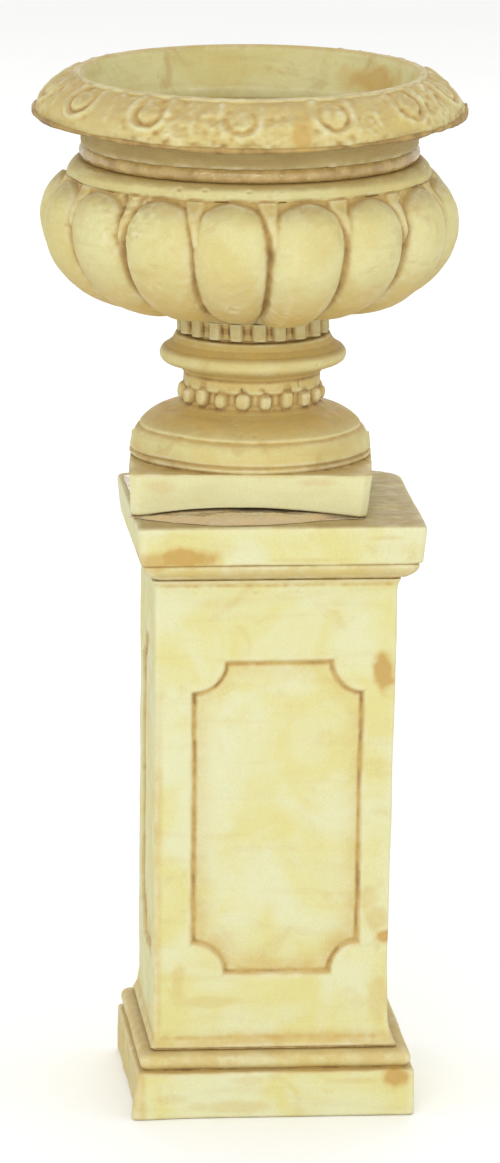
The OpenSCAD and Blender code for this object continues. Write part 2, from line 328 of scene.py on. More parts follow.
def spots(*blobs):
    """Stains on the front of a piece: each is (x, z, half width, half height, strength) in mm."""
    def paint(p):
        x, y, z = np.moveaxis(p, -1, 0)
        wave = noise(p, 9, 70) * 0.3 + noise(p, 3.5, 71) * 0.12
        total = np.zeros(x.shape)
        for bx, bz, w, h, strength in blobs:
            far = np.hypot((x - bx) / w, (z - bz) / h) + wave
            total = np.maximum(total, strength * (1 - smooth(0.45, 1.15, far)))
        return total * smooth(-30, -50, y)
    return paint


def build_base():
    """Square plinth with a rounded moulding."""
    half = BASE_HI[0]
    top = BASE_HI[2]
    plinth = 32
    mould_r = (top - plinth - 1) / 2
    mould = half - 2.2
    outline = np.concatenate([
        path(6, (2, 0), (half - 3, 0)), arc((half - 2.6, 2.6), 2.6, -90, 0, 0.9),
        path((half, 2.6), (half - 0.2, plinth - 2)), arc((half - 2.4, plinth - 2.2), 2.2, 0, 90, 0.7),
        path(0.8, (half - 2.4, plinth), (mould - mould_r + 1.5, plinth + 0.9)),
        arc((mould - mould_r, top - mould_r), mould_r, -75, 90, 0.8),
        path((mould - mould_r, top), (70, top), 6, (2, top)),
    ])
    p = square_loft(outline, 3.5, 136)
    x, y, z = np.moveaxis(p, -1, 0)
    # the casting spreads at the bottom of its front left corner
    spread = smooth(-50, -94, x) * smooth(-50, -94, y) * smooth(plinth, 0, z)
    p[..., 0] -= 4.0 * spread
    p[..., 1] -= 3.0 * spread
    stain = spots((80, plinth - 5, 11, 9, 1.0), (-20, 26, 14, 4, 0.3), (-30, 8, 30, 5, 0.35),
                  (55, 25, 24, 3, 0.3), (-70, 14, 12, 4, 0.3))
    low_wash = smooth(plinth - 3, plinth, z) * smooth(top + 6, top - 4, z) * 0.8
    low_wash = np.maximum(low_wash, smooth(half - 12, half - 16, side_reach(p)) * 0.9)
    low_wash = np.maximum(low_wash, smooth(-86, -91, x) * 0.75)
    return stone_piece("stone_base", p, closed=False, lumps=0.4, seed=100, stain=stain, flat=(0, top),
                       pitted=False, wash_and_shade=low_wash, wide=0.3)


def build_shaft():
    """Hollow square shaft with sunk panels."""
    (_, _, low), (_, _, high) = cad("pedestal_shaft")
    half, hollow = 80, 56
    outline = path(1.2, (half + 4, low), (half + 1.4, low + 6), (half, low + 16), (half, high - 9),
                   (half + 0.7, high - 3.6), (half + 2.3, high), 3, (hollow, high), 14, (hollow, low),
                   3, (half + 4, low))
    p = square_loft(outline, 2.6, 148)
    x, y, z = np.moveaxis(p, -1, 0)
    on_side = np.abs(x) > np.abs(y)
    u = np.where(on_side, y, x - 1.5)
    outside = side_reach(p) > half - 6
    wander = noise(p, 22, 5) * 0.6
    inside = panel_distance(u, z) + wander
    # a shallow groove runs just inside the panel's edge, and the middle of the panel swells
    sunk = smooth(-0.8, 0.8, inside) * PANEL_DEPTH * 0.6 + np.exp(-((inside - 1.6) / 1.3) ** 2) * 0.7
    sunk = (sunk - smooth(3, 40, inside) * 1.3) * outside
    p[..., 0] -= np.where(on_side, np.sign(x) * sunk, 0)
    p[..., 1] -= np.where(on_side, 0, np.sign(y) * sunk)
    # the right edge leans in towards the foot, and the front left edge stands a little out
    skin = smooth(hollow + 2, half - 6, side_reach(p))
    taper = np.interp(z, [low, low + 14, 105, 330], [0.55, 0.8, 1.0, 0.0])
    p[..., 0] -= 4.0 * taper * smooth(20, half, x) * skin
    p[..., 0] -= 2.0 * smooth(-20, -half, x) * smooth(0, -half, y) * skin * smooth(low, low + 20, z)
    stain = spots((72, 303, 8, 17, 1.0), (74, 122, 6, 5, 1.0), (68, 134, 9, 9, 0.45), (62, 150, 8, 10, 0.3),
                  (70, 78, 8, 18, 0.4), (-45, 78, 25, 4, 0.3), (10, 53, 60, 4, 0.4), (-66, 90, 6, 14, 0.35))
    deeper = smooth(200, 100, z) * 0.35 + 0.5
    around_panel = np.exp(-(inside.clip(0) / (5 + 9 * deeper)) ** 2) * smooth(-3, 0, inside) * deeper
    foot_wash = smooth(low + 16, low, z) * 0.8 + smooth(high - 6, high, z) * 0.5
    edge_wash = smooth(-half + 5, -half, x) * smooth(-half + 3, -half, y) * 0.7 * smooth(330, 200, z)
    wash_and_shade = np.maximum(np.maximum(around_panel, foot_wash), edge_wash)
    return stone_piece("stone_shaft", p, seed=200, stain=stain, flat=(low, high), pitted=False,
                       wash_and_shade=wash_and_shade * outside, wide=0.12)


def build_cap():
    """Slab over a hollow moulding."""
    middle_x = (CAP_LO + CAP_HI)[0] / 2
    half = CAP_HI[0] - middle_x
    low, top = CAP_LO[2], CAP_HI[2]
    slab = top - 26.6
    mould = half - 4.4
    mould_h = slab - low
    outline = np.concatenate([
        path(6, (2, low), (70, low), 1.2, (mould - mould_h * 0.58, low)),
        arc((mould - mould_h, slab), mould_h, -55, -6, 0.8),
        path(0.7, (mould - 0.5, slab - 0.8), (mould - 1.6, slab), (half - 4.4, slab + 0.2)),
        arc((half - 4.6, slab + 2.2), 2.2, -85, 0, 0.7),
        path(1.2, (half - 2.4, slab + 2.4), (half - 0.2, top - 4)),
        arc((half - 3.2, top - 3), 3, 0, 90, 0.7),
        path(1.4, (half - 3.2, top), (60, top), 6, (2, top)),
    ])
    p = square_loft(outline, 5, 136)
    # the back right corner is worn round
    reach = side_reach(p)
    centre = reach - CAP_CORNER_R
    away = p[..., :2] - centre[..., None]
    far = np.linalg.norm(away, axis=-1)
    worn = (away.min(-1) > 0) & (far > CAP_CORNER_R) & (reach > 60)
    rounded = centre[..., None] + away * (CAP_CORNER_R / np.maximum(far, 1))[..., None]
    p[..., :2] = np.where(worn[..., None], rounded, p[..., :2])
    p[..., 0] += middle_x
    stain = spots((-64, 386, 28, 9, 1.0), (-84, 384, 12, 9, 0.8), (70, 399, 14, 2, 0.35),
                  (20, 384, 30, 2, 0.3))
    wash_and_shade = smooth(slab + 3, slab - 1, p[..., 2]) * 0.55
    return stone_piece("stone_cap", p, closed=False, lumps=0.4, seed=300, stain=stain, flat=(low, top),
                       pitted=False, wash_and_shade=wash_and_shade, wide=0.3)


# ---------------------------------------------------------------- urn pieces
LOBES, LOBE_FRONT = 16, radians(-5.2)
EGGS, EGG_FRONT = 13, radians(-2.4)
RIBS, RIB_FRONT = 20, radians(-13)
BEADS, BEAD_FRONT = 19, radians(-7)


def lean(p):
    """The foot and neck stand a little to the right of the bowl, apart from the tube's hole."""
    shift = np.interp(p[..., 2], [0, 28, 30, 60, 72, 99, 113, 128],
                      [1.0, 2.2, 1.4, 1.5, 2.2, 3.4, 3.0, 2.4])
    p[..., 0] += shift * smooth(28, 44, radius(p))
    return p


def build_socle():
    """Square plinth, domed foot and beaded collar."""
    plinth_h, plinth_half, foot_half = 28.8, 81.1, 78.4
    top = levels("urn_socle")[1]
    dome_c, dome_r = (50.2, 30), 31.5
    around = 576
    # stretches: underside and pocket, plinth, then the turned foot, collar and ring
    under = path(2.4, (HOLE_R, 22), (26, 22), (26, 0), (foot_half, 0))
    side = path(1.2, (foot_half, 0), (plinth_half, plinth_h))
    ledge = path(0.2, (plinth_half, plinth_h), (plinth_half - 1, plinth_h + 0.05))
    foot = np.concatenate([path(0.5, (80.2, plinth_h), (80.7, plinth_h + 1.4)),
                           arc(dome_c, dome_r, 1.5, 78, 0.8)])
    collar = path(0.8, (55.5, 61), (50.5, 62.8), (46.4, 65.4), (45, 68.5), (45, 75.5), (46.3, 77.5),
                  (46.2, 85), (49, 88.4), (56, 91.4))
    ring = np.concatenate([arc((56.6, 97.6), (6.2, 5.8), -75, 60, 0.7),
                           path(0.8, (59.7, 102.6), (58.6, 103.0), (54.6, 106.6), (52.0, top))])
    inner = path(3, (52.0, top), (HOLE_R, top))
    bore = path(8, (HOLE_R, top), (HOLE_R, 22))
    outline = np.concatenate([under, side, ledge, foot, collar, ring, inner, bore])
    phi, r, z = turned(outline, around)
    row = np.arange(len(outline))[:, None]
    first_side, first_ledge = len(under), len(under) + len(side)
    first_foot = first_ledge + len(ledge)
    # the plinth's rings are square, and the ledge's go from square to round
    square = 1 / np.maximum(np.abs(np.cos(phi)), np.abs(np.sin(phi)))
    square = np.minimum(square, 1.375)
    share = np.clip((first_foot - row) / max(1, len(ledge)), 0, 1)
    share = np.where(row < first_side, smooth(30, 60, r), share)
    share = np.where((row >= first_side) & (row <= first_ledge), 1, share)
    r = r * (1 + (square - 1) * share)
    # a thin ring and two wandering grooves round the foot
    ring_p = from_polar(phi, 40 + 0 * r, 0 * z)
    wander = noise(ring_p, 26, 31) * 0.9
    on_foot = (row >= first_foot) & (row < first_foot + len(foot))
    broken = smooth(-0.5, 0.1, noise(ring_p, 18, 33) + 0.25)
    grooves = ((33.0, 2.2, 1.0, broken), (48.4, 1.3, 1.1, 1.0), (50.9, 0.5, 0.8, 1 - broken))
    for groove_z, depth, width, gaps in grooves:
        r = r - depth * np.exp(-((z - groove_z - wander) / width) ** 2) * on_foot * gaps
    # beads round the collar, each a little different
    for i in range(BEADS):
        centre = BEAD_FRONT + 2 * pi * i / BEADS
        vary = variation(i, 3, 0, 7)
        x = turn_between(phi, centre) * 46.5 / (4.5 + 0.6 * vary[0])
        y = (z - 71.8 - 0.7 * vary[1]) / (5.4 + 0.5 * vary[1])
        power = 2.4 + 1.0 * abs(vary[2])
        bump = np.clip(1 - np.abs(x) ** power - np.abs(y) ** power, 0, 1) ** 0.45 * 5.2
        r = r + bump * (row > first_foot) * (z < 90) * (r < 60) * (z > 62)
    p = from_polar(phi, r, z)
    # the front edge of the plinth's underside is arched
    rise = 6.2 * (1 - (p[..., 0] / foot_half) ** 2).clip(0) * smooth(-44, -46, p[..., 1])
    p[..., 2] += np.where(row < first_ledge, rise * np.clip(1 - z / plinth_h, 0, 1), 0)
    keep = off_the_hole(p)
    stain = spots((-60, 20, 12, 6, 0.3), (48, 24, 14, 3, 0.35))
    wash_z = [27, 28.8, 31, 33.4, 37, 44, 48.4, 50, 56, 62, 66, 78, 88, 92, 96, 100, 103, 112]
    wash_share = [0, 0.6, 0.5, 1.0, 0.4, 0.15, 0.8, 0.2, 0.7, 1.0, 0.6, 0.6, 0.8, 0.7, 0.3, 0.25, 0.9, 1.0]
    return stone_piece("stone_socle", lean(p), seed=400, urn=True, keep=keep, stain=stain,
                       flat=(0, top), wash_and_shade=np.interp(z, wash_z, wash_share), near_share=0.6, wide=0.5)


def build_neck():
    """Short ribbed drum."""
    low, top = levels("urn_neck")
    outline = path(2.5, (HOLE_R, low), (47.6, low), 0.7, (47.4, low + 2), (47.4, top - 2), (47.8, top),
                   3, (HOLE_R, top), 6, (HOLE_R, low))
    phi, r, z = turned(outline, 480)
    for i in range(RIBS):
        vary = variation(i, 2, 3, 9)
        centre = RIB_FRONT + 2 * pi * i / RIBS + 0.02 * vary[0]
        x = turn_between(phi, centre) * 48 / (4.4 + 0.6 * vary[1])
        r = r + dome(x, 2.6) * 3.9 * (r > 40)
    p = from_polar(phi, r, z)
    keep = off_the_hole(p)
    return stone_piece("stone_neck", lean(p), lumps=0.3, seed=500, urn=True, keep=keep, flat=(low, top),
                       wash_and_shade=0.5 * smooth(51, 47.5, r))


def build_bowl():
    """Lobed bowl with tongues between its lobes and a plain fillet on top."""
    low, top = levels("urn_bowl")
    floor = levels("tube_gasket")[0]
    around = 704
    phi_row = np.arange(around) * 2 * pi / around
    lower = np.linspace(-88, 0, 72)[:, None]
    upper = np.linspace(0, 1, 34)[1:, None]
    deg = pi / 180
    # valley between the lobes and crest of the lobes, from the neck up to the fillet
    valley_r = np.concatenate([64 + 65.5 * np.cos(lower * deg), 100 + 29.5 * np.cos(upper * 42 * deg)])
    valley_z = np.concatenate([190 + 52 * np.sin(lower * deg), 190 + 44 * np.sin(upper * 42 * deg)])
    crest_r = np.concatenate([70 + 71.6 * np.cos(lower * deg), 100 + 41.6 * np.cos(upper * 54 * deg)])
    crest_z = np.concatenate([190 + 60 * np.sin(lower * deg), 190 + 38 * np.sin(upper * 54 * deg)])
    steps = np.hypot(np.diff(crest_r[:, 0]), np.diff(crest_z[:, 0]))
    length = np.concatenate([[0], np.cumsum(steps)])[:, None]
    total = length[-1, 0]
    lift = np.zeros((len(valley_r), around))
    sag = np.zeros_like(lift)
    pitch = 2 * pi / LOBES
    for i in range(LOBES):
        vary = variation(i, 5, 2, 11)
        big = 1.0 if i == 1 else 0.0
        tilt = 0.035 * vary[0] * (length / total - 0.5)
        centre = LOBE_FRONT + pitch * i + 0.012 * vary[1]
        wide = pitch / 2 * (0.975 + 0.02 * vary[2] + 0.035 * big)
        top_end = total - 1.5 - 2 * abs(vary[3])
        round_off = np.clip((length - (top_end - 30)) / 30, 0, 1)
        half = wide * np.sqrt(np.clip(1 - round_off ** 2.3, 0, 1)) + 1e-4
        x = turn_between(phi_row, centre) / half - tilt / half
        tall = 1 + 0.08 * vary[4] + 0.14 * big
        lift = np.maximum(lift, np.clip(1 - np.abs(x) ** 2.1, 0, 1) ** 0.56 * tall * (round_off < 1))
        sag += dome(x, 2.0) * big * 2.6 * smooth(0.75, 0.3, length / total)
    r = valley_r + (crest_r - valley_r) * lift
    z = valley_z + (crest_z - valley_z) * np.minimum(lift, 1) - sag
    # pointed tongues hang between the lobes from the fillet
    for i in range(LOBES):
        vary = variation(i, 3, 4, 12)
        centre = LOBE_FRONT + pitch * (i + 0.5 + 0.03 * vary[0])
        tip, head = 182 + 5 * vary[1], 224
        half = (6.2 + 1.4 * vary[2]) * np.clip((valley_z - tip) / (head - tip), 0, 1) ** 0.6 + 1e-3
        sway = 0.016 * np.sin(valley_z / 9 + 3 * vary[0])
        x = (turn_between(phi_row, centre) + sway) * valley_r / half
        ends = smooth(tip, tip + 16, valley_z) * (1 - 0.75 * smooth(204, 219, valley_z))
        tongue = dome(x, 1.8) * (7.4 + vary[1]) * ends
        r = np.where(tongue > 0, np.maximum(r, valley_r + tongue), r)
    outer = from_polar(phi_row, r, z)
    # casting flaws: pebbles in the joints between the lobes, most of them front left
    flaw = np.exp(-(turn_between(phi_row, radians(-38)) / 0.16) ** 2) * smooth(176, 200, z)
    flaw = flaw + 0.4 * smooth(0.25, 0.6, noise(outer, 26, 66)) * (lift < 0.6)
    pebble = rough(outer, 4.5, 2, 67) * 1.3 * flaw
    outer = from_polar(phi_row, r + pebble, z)
    end_r, end_z = float(valley_r[-1, 0]), float(valley_z[-1, 0])
    plain = np.concatenate([
        path(1.0, (end_r, end_z), (122.8, end_z + 3), (122.6, top - 7)),
        arc((115.6, top - 7), (7.0, 7), 0, 90, 0.8),
        path((115.6, top), (107, top), 2, (100, top), 3, (100, 196)),
        arc((60, 196), (40, 44), 0, -90, 3.0), path(3, (60, floor), (HOLE_R, floor), 5, (HOLE_R, low),
                                                    3, (52, low)),
    ])
    phi, r, z = turned(plain, around)
    # the fillet's edge hangs a little at the sides
    droop = 2.6 * np.sin(phi) ** 2 * smooth(115, 122, r) * smooth(end_z, top - 6, z)
    p = np.concatenate([outer, from_polar(phi, r, z - droop)])
    keep = off_the_hole(p)
    level = p[..., 2]
    # painted shade: the lower outside of the bowl is darkened through the same map that carries the wash
    # between the lobes
    wash_and_shade = smooth(168, 136, level) * 0.95 * (radius(p) > 55)
    between = np.concatenate([smooth(0.75, 0.1, lift), np.zeros(phi.shape)])
    wash_and_shade = np.maximum(wash_and_shade, between * 0.55 * smooth(124, 150, level) + smooth(top - 3, top, level) * 0.5)
    return stone_piece("stone_bowl", p, lumps=0.7, grain=0.14, seed=600, urn=True, keep=keep,
                       flat=(low, top), wash_and_shade=wash_and_shade, near_share=0.45, wide=0.4)


def build_rim():
    """Flared lip with a band of eggs and darts."""
    low, top = levels("urn_rim")
    lip_z = top - 29
    band_r = 113.6
    arc_c, arc_r = (100, top - 45), 48.3
    ovolo = arc(arc_c, arc_r, 19, 68, 0.9)
    outline = np.concatenate([
        path(1.6, (100, low), (107, low), (107, low + 10), (band_r - 0.6, low + 10), 0.8,
             (band_r, low + 12), (band_r - 0.5, lip_z - 6), (band_r + 0.6, lip_z - 4), 1.3,
             (LIP_R - 4.5, lip_z - 1.6)),
        arc((LIP_R - 3.7, lip_z + 1.2), 2.9, -95, 5, 0.7),
        ovolo,
        path(0.7, (118.2, top - 0.3), (117.4, top), (114.5, top), (113.6, top - 0.9), 1.4,
             (112.4, top - 3), (110, top - 9), (100.5, lip_z + 1), (100, lip_z), 3, (100, low)),
    ])
    phi, r, z = turned(outline, 704)
    flat_p = from_polar(phi, r, z)
    # eggs in raised frames with darts between, on the upper part of the rim
    across = np.hypot(r - arc_c[0], z - arc_c[1])
    slope = np.degrees(np.arctan2(z - arc_c[1], r - arc_c[0]))
    on_ovolo = smooth(16, 20, slope) * (1 - smooth(66, 68, slope)) * smooth(arc_r - 3, arc_r - 1.5, across)
    down = (46 - slope) * pi / 180 * arc_r
    relief = np.zeros_like(r)
    pitch = 2 * pi / EGGS
    for i in range(EGGS):
        vary = variation(i, 5, 6, 13)
        centre = EGG_FRONT + pitch * i + 0.01 * vary[0]
        x = turn_between(phi, centre) * r
        fit = 1 + 0.25 * vary[4]
        far = np.hypot(x, (down + 1.5) / 1.02)
        egg = dome(np.clip(far / (9.0 + vary[1]), 0, 1), 1.6) * 2.0 * fit
        frame_r = 14.6 + 0.9 * vary[2]
        stretch = np.hypot(x, np.where(down < -1.5, (down + 1.5) * 0.55, down + 1.5))
        ridge = np.exp(-((stretch - frame_r) / 2.9) ** 2) * 1.9 * fit
        ditch = np.exp(-((stretch - frame_r + 4.3) / 2.2) ** 2) * -0.7
        dart_x = turn_between(phi, centre + pitch / 2) * r
        dart = np.exp(-(dart_x / (1.6 + 0.12 * (12 - down).clip(0))) ** 2) * 1.8 * smooth(14, 6, down)
        relief += (egg + ridge + ditch) * (np.abs(x) < 30) + dart * (np.abs(dart_x) < 12)
    # casting wear: the eggs nearest the front are almost gone
    worn = 1 - 0.5 * np.exp(-(turn_between(phi, radians(12)) / 0.6) ** 2)
    worn *= 0.8 + 0.5 * noise(flat_p, 24, 61)
    relief = relief * worn * on_ovolo * smooth(-19, -15, down) * smooth(20, 15, down)
    pebbles = rough(flat_p, 6, 2, 62) * 0.8 * on_ovolo
    relief += pebbles * smooth(-0.3, 0.6, noise(flat_p, 34, 63) + 0.3)
    lumps = rough(flat_p, 26, 2, 64) * smooth(band_r, LIP_R - 8, r) * smooth(lip_z - 8, lip_z, z)
    lathe = np.sin(z * 3.1 + noise(flat_p, 40, 68) * 2) * 0.16 * (r > 108) * smooth(lip_z - 3, lip_z - 6, z)
    nick = -3.0 * np.exp(-(turn_between(phi, radians(96)) * 28) ** 2)
    nick *= smooth(LIP_R - 14, LIP_R - 6, r)
    on_lip = on_ovolo + smooth(LIP_R - 10, LIP_R, r) * (1 - on_ovolo)
    give = (relief - 1.4 + lumps + nick) * on_lip + lathe
    n = face_normals(flat_p, True)
    p = flat_p + give[..., None] * n
    limit = (LIP_R - 0.15) / np.maximum(radius(p), LIP_R - 0.15)
    p[..., :2] *= limit[..., None]
    # the lip hangs lower at the front and the whole crest tips a little forward
    front = np.cos(phi)
    outer_share = smooth(LIP_R - 34, LIP_R - 4, r) * smooth(low + 14, lip_z - 2, z)
    p[..., 2] += (1.6 * np.sin(phi) ** 2 - 3.6 * front.clip(0) ** 2) * outer_share
    p[..., 2] -= (1 + front) * 0.9 * smooth(lip_z, top, z) + 0.6 * smooth(top - 3, top, z)

    def stain(q):
        angle = np.arctan2(q[..., 0], -q[..., 1])
        wave = noise(q, 8, 72) * 0.35
        front_spot = np.hypot((angle - 0.24) * 140 / 8, (q[..., 2] - 266) / 11) + wave
        wall_spot = np.hypot((angle - 2.2) * 105 / 34, (q[..., 2] - 272) / 12) + wave
        wall_spot += (radius(q) > 112) * 2
        return 0.8 * (1 - np.minimum(smooth(0.5, 1.15, front_spot), smooth(0.4, 1.15, wall_spot)))

    keep = smooth(LIP_R, LIP_R - 6, radius(p))
    ditches = np.maximum(smooth(0.9, -0.9, relief - blur(relief, 12)) * 0.75 * on_ovolo,
                         smooth(top - 3, top - 0.5, z) * 0.5 * (r < 116))
    return stone_piece("stone_rim", p, lumps=0.3, grain=0.2, seed=700, urn=True, keep=keep, stain=stain,
                       flat=(low, top - 0.4), pitted=False, near_share=0.4, wide=0.45, wash_and_shade=ditches)


# ---------------------------------------------------------------- joints and fastenings
BAR_R = 4


def small_piece(name, p, closed=True, urn=True):
    """A fitting with no wear of its own shape, with the maps that its paint may read."""
    n = face_normals(p, closed)
    near = hollows(p, n, 2)
    maps = {"cavity": blur(smooth(0.02, 0.4, near), 1), "edge": blur(smooth(0.02, 0.4, -near)),
            "stain": np.zeros(p.shape[:-1])}
    return grid_mesh(name, in_row_frame(p) if urn else p, closed, maps)


def build_square_bed(node, proud):
    """Ring of mortar between two stones, squeezed out unevenly along its edge."""
    (low_x, _, low), (high_x, _, high) = cad(node)
    half = (high_x - low_x) / 2 + proud
    middle = (low + high) / 2
    outline = path(0.5, (half - 1.5, low), (half - 0.3, low + 0.4), (half, middle),
                   (half - 0.3, high - 0.4), (half - 1.5, high), 2.5, (57, high), 0.7, (57, low), 2.5,
                   (half - 1.5, low))
    p = square_loft(outline, 3, 120)
    ragged = (rough(p, 12, 3, 80) - 0.7) * 0.5 * smooth(half - 6, half, side_reach(p))
    p[..., :2] *= (1 + ragged / half)[..., None]
    return small_piece("mortar_" + node, p, urn=False)


def build_neck_bed():
    """Disc of mortar under the neck."""
    low, top = levels("neck_mortar_bed")
    outline = path(0.6, (HOLE_R, low), (45.6, low), (46.4, low + 0.6), (46.4, top - 0.6), (45.6, top),
                   (HOLE_R, top), (HOLE_R, low))
    p = from_polar(*turned(outline, 240))
    p[..., :2] *= (1 + (rough(p, 9, 3, 81) - 0.6) * 0.02 * smooth(38, 46, radius(p)))[..., None]
    return small_piece("mortar_neck_bed", lean(p))


def build_sealant():
    """Bead of sealant squeezed out under the rim."""
    low, top = levels("rim_sealant")
    middle = (low + top) / 2
    outline = np.concatenate([
        path(1.0, (107.3, low + 0.1), (112, low + 0.1)),
        arc((110.6, middle), (4.0, 4.9), -70, 70, 0.6),
        path(1.0, (112, top - 0.1), (107.3, top - 0.1), (107.3, low + 0.1)),
    ])
    phi, r, z = turned(outline, 704)
    p = from_polar(phi, r, z)
    bulge = smooth(109, 113, r)
    r = r + (rough(p, 14, 3, 82) * 0.45 - 0.3 - 0.6 * smooth(0.2, 0.7, noise(p, 9, 83))) * bulge
    return small_piece("brown_sealant", from_polar(phi, r, z))


def build_ring(name, node, soft, wobble):
    """Flat ring with rounded edges, such as a washer or gasket."""
    low, high = cad(node)
    outer = (high - low)[0] / 2
    low_z, high_z = levels(node)
    bevel = soft * 0.3
    outline = path(0.5, (HOLE_R, low_z), (outer - soft, low_z), (outer - bevel, low_z + bevel),
                   (outer, low_z + soft), (outer, high_z - soft), (outer - bevel, high_z - bevel),
                   (outer - soft, high_z), (HOLE_R + soft, high_z), (HOLE_R, high_z - soft * 0.8),
                   (HOLE_R, low_z))
    phi, r, z = turned(outline, 180)
    r = r - np.abs(noise(from_polar(phi, r, z), 7, 84)) * wobble * smooth(HOLE_R + 2, outer, r)
    return small_piece(name, from_polar(phi, r, z))


def build_nut(name, node):
    """Hexagonal nut with turned chamfers and a countersunk hole."""
    low_z, high_z = levels(node)
    outline = path(0.45, (HOLE_R + 1.0, low_z), (8.3, low_z), (9.8, low_z + 1.1), (9.8, high_z - 1.1),
                   (8.3, high_z), (HOLE_R + 1.0, high_z), (HOLE_R, high_z - 1.0), 0.9,
                   (HOLE_R, low_z + 1.0), 0.45, (HOLE_R + 1.0, low_z))
    phi, r, z = turned(outline, 192)
    turn = (phi + pi / 6) % (pi / 3) - pi / 6
    return small_piece(name, from_polar(phi + pi / 2, np.minimum(r, 8.48 / np.cos(turn)), z))


def build_tube():
    """Hollow tube with a rolled thread over its whole length."""
    low, top = levels("drain_tube")
    outline = path(0.4, (2.5, low), (TUBE_R - 0.9, low), (TUBE_R, low + 1.0), 0.28,
                   (TUBE_R, top - 1.0), 0.4, (TUBE_R - 0.9, top), (2.5, top), 4, (2.5, low))
    phi, r, z = turned(outline, 60)
    wave = 0.5 + 0.5 * np.cos(2 * pi * z / 1.5 - phi)
    r = r - 0.55 * wave * (r > 4.2)
    return small_piece("threaded_tube", from_polar(phi, r, z))


def build_bars(node):
    """The four ribbed dowels of one joint."""
    low, high = cad(node)
    z = np.arange(low[2], high[2] + 0.01, (high[2] - low[2]) / 84)
    around = 40
    phi = np.arange(around) * 2 * pi / around
    end = np.minimum(z - z[0], z[-1] - z)
    ribs = 0.5 + 0.5 * np.cos(z[:, None] * 2.2 - np.abs(np.sin(phi)) * 3)
    r = 3.95 - 0.6 * smooth(0.8, 0, end)[:, None] - 0.35 * ribs
    bar = np.stack([r * np.cos(phi), r * np.sin(phi), np.broadcast_to(z[:, None], r.shape)], -1)
    at = high[0] - BAR_R
    places = np.array([(x, y, 0) for x in (-at, at) for y in (-at, at)], float)
    return small_piece("steel_" + node, bar + places[:, None, None, :], closed=False, urn=False)


# ---------------------------------------------------------------- slip sheet
FILM_T = 0.14
MARGIN_T = FILM_T * 0.7


def build_film():
    """The clear film: flat under the plinth, creased, and swollen in front under the plinth's arch."""
    gap = URN_Z - CAP_HI[2]
    left, right, back = -78.5, 77.5, 74.0
    columns, rows = 250, 280
    u = np.linspace(0, 1, columns)[None, :]
    v = np.linspace(0, 1, rows)[:, None]
    x = left + (right - left) * u + 0 * v
    # the front edge is a shallow bow that reaches furthest a little left of the middle
    bow = 79.5 + 24.5 * (1 - ((x + 10) / 66) ** 2).clip(0)
    bow = bow + noise(np.stack([x, x * 0, x * 0], -1), 16, 90) * 0.9
    y = back + (-bow - back) * v
    flat = np.stack([x, y, x * 0], -1)
    crease = np.abs(rough(flat, 18, 3, 91)) * 0.5 + np.abs(noise(flat * (1, 0.4, 1), 7, 92)) * 0.3
    under = 0.12 + 0.42 * gap * crease.clip(0, 1.1)
    arch = 5.6 * (1 - (x / 78.4) ** 2).clip(0)
    swell = smooth(-46, -56, y) * (1 - smooth(bow - 9, bow, -y) ** 1.5)
    full = 0.86 + 0.12 * noise(flat, 30, 93) + 0.06 * noise(flat, 11, 94)
    beyond = smooth(77, 84, -y)
    z = under + arch * swell * full.clip(0.6, 0.96) * (1 - 0.15 * beyond)
    folds = np.abs(noise(flat * (0.5, 1.2, 1) + 3, 9, 95)) * 1.0 + np.abs(noise(flat + 7, 4, 96)) * 0.4
    z = z + folds * swell * (0.25 + 0.9 * beyond)
    ceiling = np.where(y > -79.5, gap + arch * smooth(-45, -47, y) - 0.25 - FILM_T, 6.2)
    z = np.clip(z, 0.06, ceiling)
    top = np.stack([x, y, z - gap + FILM_T], -1)
    return small_piece("clear_film", film_ring(top, FILM_T)[::-1], closed=False)


def film_ring(top, thickness):
    """Each row of a sheet's upper side, carried back below: rings that face out if they run to +Y."""
    return np.concatenate([top, (top - (0, 0, thickness))[:, ::-1]], 1)


def build_strip():
    """The end of the film that shows on the cap's left margin."""
    columns, rows = 60, 150
    u = np.linspace(0, 1, columns)[None, :]
    v = np.linspace(0, 1, rows)[:, None]
    edge = CAP_LO[0] + 2.2
    y = -60 + 144 * v + 0 * u
    wave = noise(np.stack([y * 0, y, y * 0], -1), 22, 97) * 1.6
    x = edge + 1.6 + wave + (-78 - edge) * u
    flat = np.stack([x, y, x * 0], -1)
    z = 0.1 + np.abs(rough(flat, 12, 3, 98)) * 0.55
    z = np.minimum(z, 1.0)
    top = np.stack([x, y, z + CAP_HI[2] + MARGIN_T], -1)
    return small_piece("clear_film_margin", film_ring(top, MARGIN_T), closed=False, urn=False)


